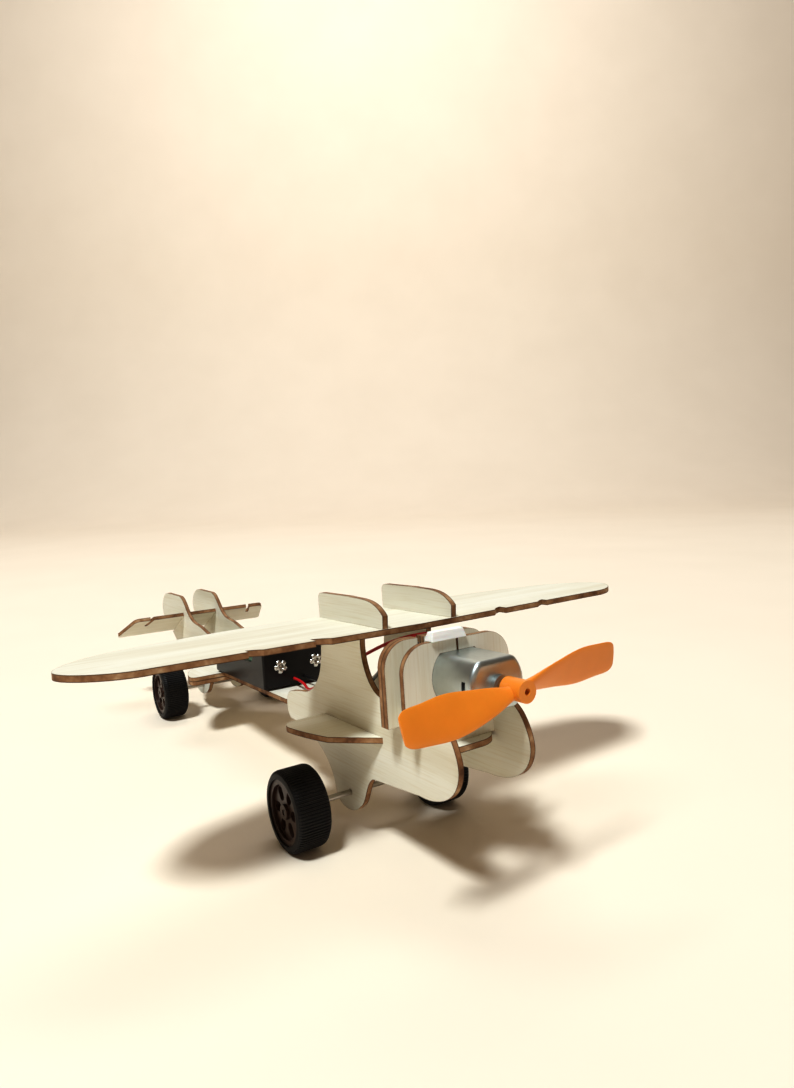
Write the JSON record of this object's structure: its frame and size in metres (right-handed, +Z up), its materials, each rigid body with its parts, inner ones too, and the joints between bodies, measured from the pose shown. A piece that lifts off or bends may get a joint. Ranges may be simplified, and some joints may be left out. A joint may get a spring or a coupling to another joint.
{
  "type": "motorised model aeroplane",
  "caption": "Push-together plywood model aeroplane with a straight shoulder wing, stub wings, a motor-driven propeller, a battery tray on the boom and four rubber-tyred wheels.",
  "frame": {"origin": "centre of the bounding box in plan, on the ground under the four wheels", "axes": "nose to -Y, tail to +Y, the aeroplane's own right wing to -X, +Z up from the ground"},
  "size_m": [0.2158, 0.3142, 0.0845],
  "materials": {
    "plywood": "raw laser-cut basswood plywood, edges burnt brown",
    "propeller_plastic": "moulded, satin",
    "motor_steel": "zinc plated, satin",
    "bell_plastic": "moulded",
    "magnet": "sintered",
    "lamination": "stamped, matt",
    "copper": "turned",
    "bronze": "sintered, oiled",
    "plated_steel": "nickel plated",
    "box_plastic": "moulded, satin black",
    "battery_jacket": "printed film, semi-gloss",
    "foam_tape": "closed-cell foam, matt",
    "red_insulation": "soft PVC",
    "black_insulation": "soft PVC",
    "tyre": "ribbed rubber, matt",
    "rim_plastic": "moulded, satin"
  },
  "bodies": {
    "airframe": {"battery_box": "box_plastic", "battery_cell_left": "battery_jacket", "battery_cell_right": "battery_jacket", "battery_contacts": "plated_steel", "battery_foam_pad": "foam_tape", "battery_rivets": "plated_steel", "battery_springs": "plated_steel", "black_wire": "black_insulation", "boom_deck": "plywood", "bulkhead_middle": "plywood", "bulkhead_motor": "plywood", "bulkhead_rear": "plywood", "main_wing": "plywood", "motor_bush": "bronze", "motor_can": "motor_steel", "motor_end_bell": "bell_plastic", "motor_magnets": "magnet", "motor_terminals": "plated_steel", "nose_deck": "plywood", "nose_foam_pad": "foam_tape", "red_wire": "red_insulation", "side_plate_left": "plywood", "side_plate_right": "plywood", "stub_wing_left": "plywood", "stub_wing_right": "plywood", "tail_fin_left": "plywood", "tail_fin_right": "plywood", "tail_platform": "plywood", "tailplane": "plywood"},
    "propeller": {"propeller": "propeller_plastic", "motor_shaft": "plated_steel", "motor_armature": "lamination", "motor_commutator": "copper"},
    "front_wheels": {"front_axle": "plated_steel", "front_wheel_left_rim": "rim_plastic", "front_wheel_left_tyre": "tyre", "front_wheel_right_rim": "rim_plastic", "front_wheel_right_tyre": "tyre"},
    "rear_wheels": {"rear_axle": "plated_steel", "rear_wheel_left_rim": "rim_plastic", "rear_wheel_left_tyre": "tyre", "rear_wheel_right_rim": "rim_plastic", "rear_wheel_right_tyre": "tyre"}
  },
  "joints": [
    {"name": "propeller_spin", "type": "hinge", "parent": "airframe", "child": "propeller", "pos_m": [0, -0.13889, 0.06385], "axis": [0, 0.9985, -0.0553], "continuous": true},
    {"name": "front_wheels_roll", "type": "hinge", "parent": "airframe", "child": "front_wheels", "pos_m": [0, -0.08157, 0.0138], "axis": [1, 0, 0], "continuous": true},
    {"name": "rear_wheels_roll", "type": "hinge", "parent": "airframe", "child": "rear_wheels", "pos_m": [0, 0.08659, 0.0138], "axis": [1, 0, 0], "continuous": true}
  ]
}
